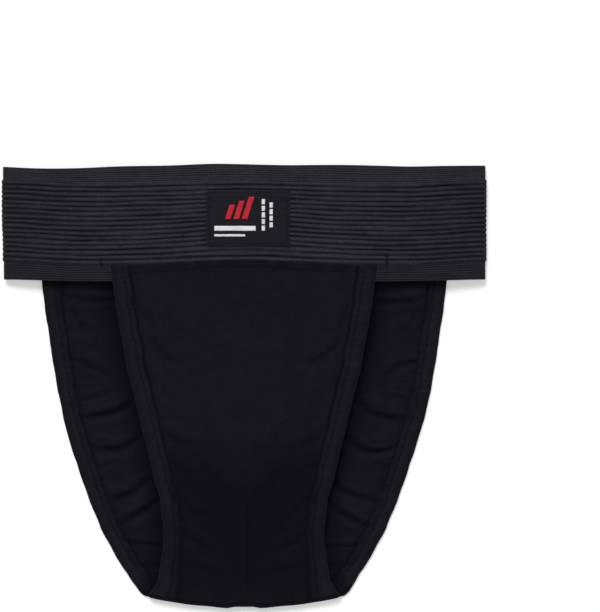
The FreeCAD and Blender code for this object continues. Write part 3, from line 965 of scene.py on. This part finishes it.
def hemmed_rows(at, middle_pace):
    """Sections of a hemmed panel, row by row: points and tone."""
    inset, depth, face = hem_section()
    _, half, lean = row_places(at)
    half = half + MM * (0.3 * ripple(at, 0, 13, 2.5) + 0.12 * ripple(at, 0, 4, 5.5))
    count = int(2 * (half.max() - HEM_ZONE) / middle_pace)
    outer, inner = np.linspace(1, -1, count)[1:-1], np.linspace(-1, 1, count // 3)[1:-1]
    room = half - HEM_ZONE * lean

    def section(hem, outside, inside, other=1):
        """A left hem, the outer face, the right hem and the inner face."""
        runs = hem, outside + 0 * outer * room, other * hem[:, ::-1], inside + 0 * inner * room
        return np.concatenate(runs, 1)

    out = hem_relief(inset, at, face)
    on_table = (at > FRONT_LENGTH + FOLD_LENGTH / 2) & (face == 1)
    out = np.where(on_table, np.minimum(out, 0), out)
    out = out * (fade(at - FRONT_LENGTH, 4.5, -0.5) + fade(at - BACK_START, -2, 3))
    x = section(half - inset * lean, outer * room, inner * room, -1)
    points = lay(at, x, section(depth + np.where(face == 2, out, -out), 0, sizes().fabric))
    tone = section(hem_tone(inset, at, face), 1, 1) * panel_tone(at, x, points[:, :, 1])
    return points, np.clip(tone, 0.05, 1.5)


class SUPPORTER_OT_front(bpy.types.Operator):
    """Front panel: from its lap on the waist elastic, round the crotch to the seam on the seat"""

    bl_idname = "supporter.front"
    bl_label = "Front panel"

    def execute(self, context):
        points, tone = hemmed_rows(stations(0.0, SEAM_AT, ROW_PACE), 1.25 * MM)
        piece = swept_piece("front_jersey", points, jersey_knit(), "jersey", tone)
        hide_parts("front_panel")
        return {"FINISHED"}


class SUPPORTER_OT_back(bpy.types.Operator):
    """Seat panel: flat on the table, gathered by its hems so that it billows between them"""

    bl_idname = "supporter.back"
    bl_label = "Seat panel"

    def execute(self, context):
        points, tone = hemmed_rows(stations(SEAM_AT, GARMENT_LENGTH, ROW_PACE), 1.35 * MM)
        piece = swept_piece("seat_jersey", points, jersey_knit(), "jersey", tone)
        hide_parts("back_panel")
        return {"FINISHED"}


class SUPPORTER_OT_linings(bpy.types.Operator):
    """Cup pocket's inner sheet and the crotch lining"""

    bl_idname = "supporter.linings"
    bl_label = "Linings"

    def execute(self, context):
        self.crotch()
        self.pocket()
        return {"FINISHED"}

    def crotch(self):
        reach = LINING_HIGH.y - FOLD_Y
        at = stations(FRONT_LENGTH - reach + 4 * MM, BACK_START + reach, 1.6 * MM)
        _, half, lean = row_places(at)
        half = half - LINING_INSET * lean
        across = np.linspace(-1, 1, int(2 * half.max() / (2.5 * MM)))
        depth = np.repeat(LINING_DEPTHS, len(across))
        depth[[0, len(across) - 1]] += SHEET_EDGE
        depth[[len(across), -1]] -= SHEET_EDGE
        rows = lay(at, half * np.append(across, across[::-1]), depth)
        behind = at > FRONT_LENGTH + FOLD_LENGTH / 2
        tone = 0.95 * np.where(behind, leg_shade(rows[:, :, 0], rows[:, :, 1]), 1)
        piece = swept_piece("crotch_sheet", rows, jersey_knit(), "lining", tone)
        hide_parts("crotch_lining")

    def pocket(self):
        """The sheet narrows to a point below, and has a hem along its mouth."""
        mouth, low, cloth = POCKET_HIGH.y, POCKET_LOW.y, sizes().fabric
        crown, fall = measured_dome(
            "cup_pocket_lining", low + 10 * MM, mouth - 1 * MM, lambda y: 12 * MM, 1
        )
        share = np.linspace(0, 1, POCKET_MESH[0])[:, None]
        across = np.linspace(-1, 1, POCKET_MESH[1])
        side_low = low + POINT_HEIGHT
        row_y = mouth + (side_low - mouth) * share
        x = np.append(across, -across) * (front_half(row_y) - LINING_INSET * 1.05)
        point = (side_low - low) * np.clip(1 - np.abs(x) / POINT_HALF, -0.5, 1)
        y = row_y - share * point
        depth = cloth * np.repeat([0, 1], len(across)) * (1 + fade(y - mouth, -8.4, -7.8))
        rows = np.stack([x, y, crown(y) - fall(y) * x * x - depth], -1)
        tone = np.full(y.shape, 0.9)
        piece = swept_piece("pocket_sheet", rows, jersey_knit(), "lining", tone)
        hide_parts("cup_pocket_lining")


class SUPPORTER_OT_leg_elastics(bpy.types.Operator):
    """Flat elastics inside the leg hems"""

    bl_idname = "supporter.leg_elastics"
    bl_label = "Leg elastics"

    def execute(self, context):
        finish = woven("braided_elastic", scaled(colours().elastic, 0.8), 0.9 * MM)
        at = stations(10 * MM, GARMENT_LENGTH - 11.5 * MM, 2 * MM)
        _, half, lean = row_places(at)
        across = np.linspace(0, 1, 8)
        inset = ELASTIC_INSET + np.append(across, across[::-1]) * sizes().leg_elastic
        depth = np.repeat(ELASTIC_DEPTHS, len(across))
        for side, name in ((1, "left"), (-1, "right")):
            rows = lay(at, side * (half - inset * lean), depth)
            piece = swept_piece(f"{name}_hem_elastic", rows, finish, "leg_elastic")
            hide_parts(f"{name}_leg_elastic")
        return {"FINISHED"}


# ---- label and tape ----

LABEL_RISE = 0.62 * MM
LABEL_SEAM = 1.5 * MM
MARK_DEPTHS = (LABEL_RISE - 0.15 * MM, LABEL_RISE + 0.14 * MM)
MARK_MESH = 0.5
LABEL_MESH = (90, 62)
TAPE_SEAM = 2.2 * MM


def band_surface(x, y, out):
    """Points on the front of the waist elastic, at a height above its rib crests."""
    z = ARCH_CENTRE + np.sqrt(ARCH_RADIUS**2 - x * x) + out
    return np.stack(np.broadcast_arrays(x, y, z), -1)


def label_surface(x, y, out):
    """Points at a height above the ribs that follow the label.

    The label dips to the ribs at its sewn edge, and puckers and drags a little.
    """
    side = np.minimum(x - LABEL_LOW.x, LABEL_HIGH.x - x)
    edge = np.minimum(side, np.minimum(y - LABEL_LOW.y, LABEL_HIGH.y - y))
    drag = wave(y + 0.5 * x + 2 * MM * ripple(x, y, 12, 7.7), 6.4) * fade(side, 9, 1)
    pucker = 0.16 * ripple(x, y, 9, 3.3) + 0.05 * wave(y, 3.2) + 0.24 * drag
    relief = 0.4 * fade(edge, 0, 4) - 0.15 - 0.22 * bell(edge - LABEL_SEAM, 0.5)
    return band_surface(x, y, out + MM * (relief + pucker * fade(edge, 0, 3)))


def label_patch(x, y, low, high):
    """A patch over the label as a closed sheet: arrays of X and Y, rows by columns."""
    points = [label_surface(x, y, out).reshape(-1, 3) for out in (high, low)]
    faces, count = grid_faces(*x.shape), x.size
    spots = np.arange(count).reshape(x.shape)
    ring = np.concatenate([spots[0], spots[1:, -1], spots[-1, -2::-1], spots[-2:0:-1, 0]])
    after = np.roll(ring, -1)
    faces += [[corner + count for corner in face[::-1]] for face in faces]
    faces += np.stack([ring, after, after + count, ring + count], -1).tolist()
    return np.concatenate(points), faces


def label_mark(left, low, width, height, columns=None, rows=None, lean=0.0):
    """One mark from its low left corner, in millimetres from the label's middle.

    Its outline is a little uneven, as its yarns turn back.
    """
    u, v = np.meshgrid(
        np.linspace(0, 1, columns or int(width / MARK_MESH) + 2),
        np.linspace(0, 1, rows or int(height / MARK_MESH) + 2),
    )
    middle = (LABEL_LOW + LABEL_HIGH) / 2
    x = middle.x + (left + u * width + v * height * lean) * MM
    y = middle.y + (low + v * height) * MM
    uneven_x, uneven_y = ripple(x, y, 1.3, 2.7), ripple(x, y, 1.4, 8.1)
    return label_patch(x + 0.08 * MM * uneven_x, y + 0.08 * MM * uneven_y, *MARK_DEPTHS)


class SUPPORTER_OT_label(bpy.types.Operator):
    """Woven label on the ribs, with a plain design of slanted bars and rules"""

    bl_idname = "supporter.label"
    bl_label = "Woven label"

    def execute(self, context):
        x, y = np.meshgrid(
            np.linspace(LABEL_LOW.x, LABEL_HIGH.x, LABEL_MESH[0]),
            np.linspace(LABEL_LOW.y, LABEL_HIGH.y, LABEL_MESH[1]),
        )
        finish = woven("label_ground", colours().label, 0.42 * MM, 0.06)
        ground = label_patch(x, y, 0.1 * MM, LABEL_RISE)
        piece = make_piece("label_ground", *ground, finish, "label")
        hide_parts("woven_label")
        # Three bars that lean to the right, each taller than the one before
        bars = [
            label_mark(5.6 * n - 15.5, -0.2, 3.7, 9.5 + 2.7 * n, 10, 24, 0.32) for n in range(3)
        ]
        # Two rules below the bars, and two columns of short blocks beside them
        places = [(-22.5, -8, 27.5, 3.2), (-22.5, -11.8, 20.5, 1.5)]
        places += [(9, 9.6 - 4.4 * n, 2.2, 3.4) for n in range(5)]
        places += [(14.2, 7.4 - 4.4 * n, 2.2, 3.4) for n in range(4)]
        rules = [label_mark(*place) for place in places]
        for name, colour, marks in (
            ("label_bars", colours().mark, bars),
            ("label_rules", colours().rule, rules),
        ):
            finish = woven(f"{name}_yarn", colour, 0.38 * MM, 0.25)
            make_piece(name, *joined(marks), finish, "label")
        return {"FINISHED"}


def zigzag(places, swing):
    """Swings to and fro along evenly spaced places."""
    return swing * np.where(np.arange(len(places)) % 2, 1, -1)


class SUPPORTER_OT_tape(bpy.types.Operator):
    """Tape over the join of the waist elastic, inside the centre back"""

    bl_idname = "supporter.tape"
    bl_label = "Join tape"

    def execute(self, context):
        rows = np.linspace(TAPE_LOW.y, TAPE_HIGH.y, 50)[:, None]
        across = np.linspace(TAPE_LOW.x, TAPE_HIGH.x, 18)
        x = np.append(across, across[::-1])
        z = np.repeat([TAPE_HIGH.z, TAPE_LOW.z], len(across)) + 0.12 * MM * ripple(x, rows, 8, 1.0)
        points = np.stack(np.broadcast_arrays(x, rows, z), -1)
        finish = woven("join_tape_twill", scaled(colours().elastic, 0.6), 0.8 * MM)
        piece = swept_piece("join_tape", points, finish, "tape")
        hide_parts("waistband_join_tape")
        y = np.arange(TAPE_LOW.y + 2 * MM, TAPE_HIGH.y - 2 * MM, 1.5 * MM)
        for side, name in ((1, "left"), (-1, "right")):
            x = side * (TAPE_HIGH.x - TAPE_SEAM) + zigzag(y, 1.2 * MM)
            path = np.stack([x, y, 0 * y + TAPE_HIGH.z + 0.12 * MM], -1)
            thread_piece(f"tape_stitch_{name}", [path], sewing_thread(), "tape")
        return {"FINISHED"}


# ---- threads ----

LOOPER_STEPS = 8
LAP_ROWS = (1.6 * MM, 4.4 * MM)
# X of each bar tack and the Y of its two ends, in millimetres
TACKS = ((95.5, 80.5, 90), (-95.5, 80.5, 88))


def running_stitches(place, first, last, lift):
    """Straight stitches along a line: place(distance) gives points on the face."""
    pitch = sizes().stitch
    starts = np.arange(first, last - pitch, pitch)
    share = np.array([0.08, 0.2, 0.5, 0.8, 0.92])
    points = place(starts[:, None] + share * pitch)
    points[:, :, 2] += np.array([-0.2, lift * 0.8, lift, lift * 0.8, -0.2]) * MM
    return points


def hem_thread(side, inset, face, at, row):
    """Points of a sewn row on a hem's outer face (1) or its turned layer (2)."""
    _, half, lean = row_places(at)
    out = hem_relief(inset, at, face)
    closed = 1.05 * MM * step(row, SLOT_END, sizes().hem_width)
    depth = -out if face == 1 else HEM_DEPTH + out - closed
    return lay(at, side * (half - inset * lean), depth)


class SUPPORTER_OT_threads(bpy.types.Operator):
    """Sewing threads: hems, lap, label and bar tacks"""

    bl_idname = "supporter.threads"
    bl_label = "Threads"

    def execute(self, context):
        self.front_hems()
        self.seat_hems()
        self.lap()
        self.label()
        self.tacks()
        return {"FINISHED"}

    def hem_rows(self, side, rows, face, *run):
        for row in rows:
            yield running_stitches(
                lambda at: hem_thread(side, row + row_drift(at), face, at, row), *run
            )

    def front_hems(self):
        lengths = []
        for side in (1, -1):
            lengths += self.hem_rows(side, FRONT_ROWS, 1, 1 * MM, FRONT_LENGTH - 1 * MM, 0.06)
        thread_piece("front_hem_stitches", lengths, sewing_thread(), "jersey")

    def seat_hems(self):
        """The looper side of the cover stitch: a thread that swings between two rows."""
        lengths = []
        first, last = BACK_START + 2 * MM, GARMENT_LENGTH - 12 * MM
        at = np.arange(first, last, sizes().stitch / LOOPER_STEPS)
        swing = np.clip(1.25 * np.sin(2 * math.pi * at / sizes().stitch), -1, 1)
        row = np.mean(LOOPER_ROWS) + np.ptp(LOOPER_ROWS) / 2 * swing + row_drift(at)
        for side in (1, -1):
            lengths.append(hem_thread(side, row, 2, at, row) + np.array([0, 0, 0.12 * MM]))
            lengths += self.hem_rows(side, LOOPER_ROWS, 2, first, last, 0.14)
        thread_piece("seat_hem_looper_threads", lengths, sewing_thread(), "jersey")

    def lap(self):
        """Two rows that hold the front's top edge to the waist elastic."""
        reach = FRONT_HIGH.x - 3 * MM
        lengths = [
            running_stitches(lambda x: lay(row, x, 0), -reach, reach, 0.08) for row in LAP_ROWS
        ]
        thread_piece("lap_stitches", lengths, sewing_thread(), "jersey")

    def label(self):
        inset = Vector((LABEL_SEAM, LABEL_SEAM, 0))
        low, high = LABEL_LOW + inset, LABEL_HIGH - inset
        lengths = [
            running_stitches(lambda x: label_surface(x, y, LABEL_RISE), low.x, high.x, 0.12)
            for y in (low.y, high.y)
        ]
        lengths += [
            running_stitches(lambda y: label_surface(x, y, LABEL_RISE), low.y, high.y, 0.12)
            for x in (low.x, high.x)
        ]
        thread_piece("label_stitches", lengths, sewing_thread(), "label")

    def tacks(self):
        """Close zigzags at the lap's two ends."""
        lengths = []
        for centre_x, low, high in TACKS:
            y = np.arange(low, high, 0.45) * MM
            lengths.append(band_surface(centre_x * MM + zigzag(y, 0.9 * MM), y, 0.1 * MM))
        finish = spun_thread("tack_thread", colours().elastic)
        thread_piece("bar_tacks", lengths, finish, "jersey")


# ---- cuts ----

# Shares of their boxes that two narrowing sheets fill
POCKET_FILLS = 0.8
LINING_FILLS = 0.7


def cut_area(first, last):
    """Flat area of a hemmed panel between two distances down the garment."""
    _, half, _ = row_places(np.linspace(first, last, 300))
    return float(np.mean(2 * (half + sizes().hem_width)) * (last - first))


def declare_sheets():
    """The sheets of cloth, with the sizes they were cut to and what is sewn on them."""
    hem = sizes().hem_width
    tall = WAIST_HIGH.y - WAIST_LOW.y
    around = 4 * WAIST_HIGH.x - (8 - 2 * math.pi) * FOLD_RADIUS
    front = (2 * (FRONT_HIGH.x + hem), SEAM_AT)
    seat = (2 * (BACK_HIGH.x + hem), GARMENT_LENGTH - SEAM_AT)
    pocket = (POCKET_HIGH.x - POCKET_LOW.x, POCKET_HIGH.y - POCKET_LOW.y + POCKET_HEM)
    lining = (LINING_HIGH.x - LINING_LOW.x, 2 * (LINING_HIGH.y - FOLD_Y) + FOLD_LENGTH)
    label = (LABEL_HIGH.y - LABEL_LOW.y, LABEL_HIGH.x - LABEL_LOW.x)
    tape = (TAPE_HIGH.x - TAPE_LOW.x, TAPE_HIGH.y - TAPE_LOW.y)
    cuts = (
        ("ribbed_waistband", (tall, around), "laid", "floor", None, ""),
        ("label_ground", label, "laid", "ribbed_waistband", None,
         "label_bars label_rules label_stitches"),
        ("join_tape", tape, "laid", "ribbed_waistband", None,
         "tape_stitch_left tape_stitch_right"),
        ("front_jersey", front, "folded", "seat_jersey pocket_sheet", cut_area(0, SEAM_AT),
         "front_hem_stitches lap_stitches bar_tacks"),
        ("seat_jersey", seat, "gathered", "floor", cut_area(SEAM_AT, GARMENT_LENGTH),
         "seat_hem_looper_threads left_hem_elastic right_hem_elastic"),
        ("pocket_sheet", pocket, "laid", "seat_jersey", POCKET_FILLS * pocket[0] * pocket[1], ""),
        ("crotch_sheet", lining, "folded", "seat_jersey", LINING_FILLS * lining[0] * lining[1], ""),
    )
    for name, flat, held, rests_on, area, sewn in cuts:
        sewn = [bpy.data.objects[piece] for piece in sewn.split()]
        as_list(sewn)


# ---- stage ----

FLOOR_REACH = 12.0
FLOOR_DROP = 0.05 * MM
FLOOR_COLOUR = (0.82, 0.82, 0.83)
FLOOR_GLOW = 0.32
WORLD_LEVEL = 0.36
# Name, direction that it comes from, spread in degrees, power
LAMPS = (
    ("key_lamp", (-0.3, 1.0, 1.2), 28, 2.25),
    ("fill_lamp", (0.8, -0.3, 1.3), 60, 0.35),
)
LENS = 150
SEEN_HEIGHT = 0.4093
CAMERA_SPOT = (0.0375, 0.055)
LEVEL_IN_FRAME = 0.012


class SUPPORTER_OT_stage(bpy.types.Operator):
    """Pale floor, soft studio light and a camera straight above"""

    bl_idname = "supporter.stage"
    bl_label = "Stage"

    def execute(self, context):
        self.floor(context.scene)
        self.lights(context.scene)
        self.camera(context.scene)
        context.scene.view_settings.view_transform = "Standard"
        return {"FINISHED"}

    def floor(self, scene):
        mesh = bpy.data.meshes.new("floor")
        signs = ((-1, -1), (1, -1), (1, 1), (-1, 1))
        corners = [(x * FLOOR_REACH, y * FLOOR_REACH, -FLOOR_DROP) for x, y in signs]
        mesh.from_pydata(corners, [], [(0, 1, 2, 3)])
        floor = bpy.data.objects.new("floor", mesh)
        scene.collection.objects.link(floor)
        floor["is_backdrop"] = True
        s = Shader(bpy.data.materials.new("floor_white"))
        mesh.materials.append(s.finish(FLOOR_COLOUR, None, 0.9, 0.1))
        glow = s.node("Emission", Strength=s.times(s.rays(), FLOOR_GLOW)).outputs[0]
        face = s.tree.nodes["Principled BSDF"].outputs[0]
        both = s.pair(s.node("AddShader"), face, glow).outputs[0]
        s.feed(s.tree.nodes["Material Output"].inputs["Surface"], both)

    def lights(self, scene):
        scene.world = scene.world or bpy.data.worlds.new("studio")
        s = Shader(scene.world)
        background = s.tree.nodes.get("Background") or s.node("Background")
        s.feed(background.inputs["Color"], (1, 1, 1))
        level = s.node("MapRange", Value=s.rays(), To_Min=WORLD_LEVEL, To_Max=1.0)
        s.feed(background.inputs["Strength"], level.outputs["Result"])
        for name, away, spread, power in LAMPS:
            light = bpy.data.lights.new(name, "SUN")
            light.angle, light.energy = math.radians(spread), power
            lamp = bpy.data.objects.new(name, light)
            lamp.rotation_mode = "QUATERNION"
            lamp.rotation_quaternion = (-Vector(away)).to_track_quat("-Z", "Y")
            scene.collection.objects.link(lamp)

    def camera(self, scene):
        data = bpy.data.cameras.new("camera")
        data.lens = LENS
        camera = bpy.data.objects.new("camera", data)
        height = LENS / data.sensor_width * SEEN_HEIGHT + LEVEL_IN_FRAME
        camera.location = (*CAMERA_SPOT, height)
        scene.collection.objects.link(camera)
        scene.camera = camera


# ---- panel and start ----


OPERATORS = (
    SUPPORTER_OT_waistband,
    SUPPORTER_OT_label,
    SUPPORTER_OT_tape,
    SUPPORTER_OT_front,
    SUPPORTER_OT_back,
    SUPPORTER_OT_linings,
    SUPPORTER_OT_leg_elastics,
    SUPPORTER_OT_threads,
    SUPPORTER_OT_stage,
)


class SUPPORTER_PT_panel(bpy.types.Panel):
    """Lists the supporter's pieces in the sidebar"""

    bl_label = "Athletic Supporter"
    bl_space_type = "VIEW_3D"
    bl_region_type = "UI"
    bl_category = "Supporter"

    def draw(self, context):
        for group in (context.scene.supporter_sizes, context.scene.supporter_colours):
            for name in group.__annotations__:
                self.layout.prop(group, name)
        for operator in OPERATORS:
            self.layout.operator(operator.bl_idname)


CLASSES = (SupporterSizes, SupporterColours, *OPERATORS, SUPPORTER_PT_panel)


def register():
    for kind in CLASSES:
        bpy.utils.register_class(kind)
    bpy.types.Scene.supporter_sizes = PointerProperty(type=SupporterSizes)
    bpy.types.Scene.supporter_colours = PointerProperty(type=SupporterColours)


def unregister():
    del bpy.types.Scene.supporter_colours
    del bpy.types.Scene.supporter_sizes
    for kind in reversed(CLASSES):
        bpy.utils.unregister_class(kind)


def write_sizes():
    """Works out the solids' box and the dressed model's box as plain numbers, and keeps nothing."""
    boxes = {"cad": CAD_BOX, "visual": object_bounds()}
    {name: [list(corner) for corner in box] for name, box in boxes.items()}


def main():
    register()
    for operator in OPERATORS:
        group, name = operator.bl_idname.split(".")
        getattr(getattr(bpy.ops, group), name)()
    bpy.context.view_layer.update()
    declare_sheets()
    write_sizes()


if __name__ == "__main__":
    main()
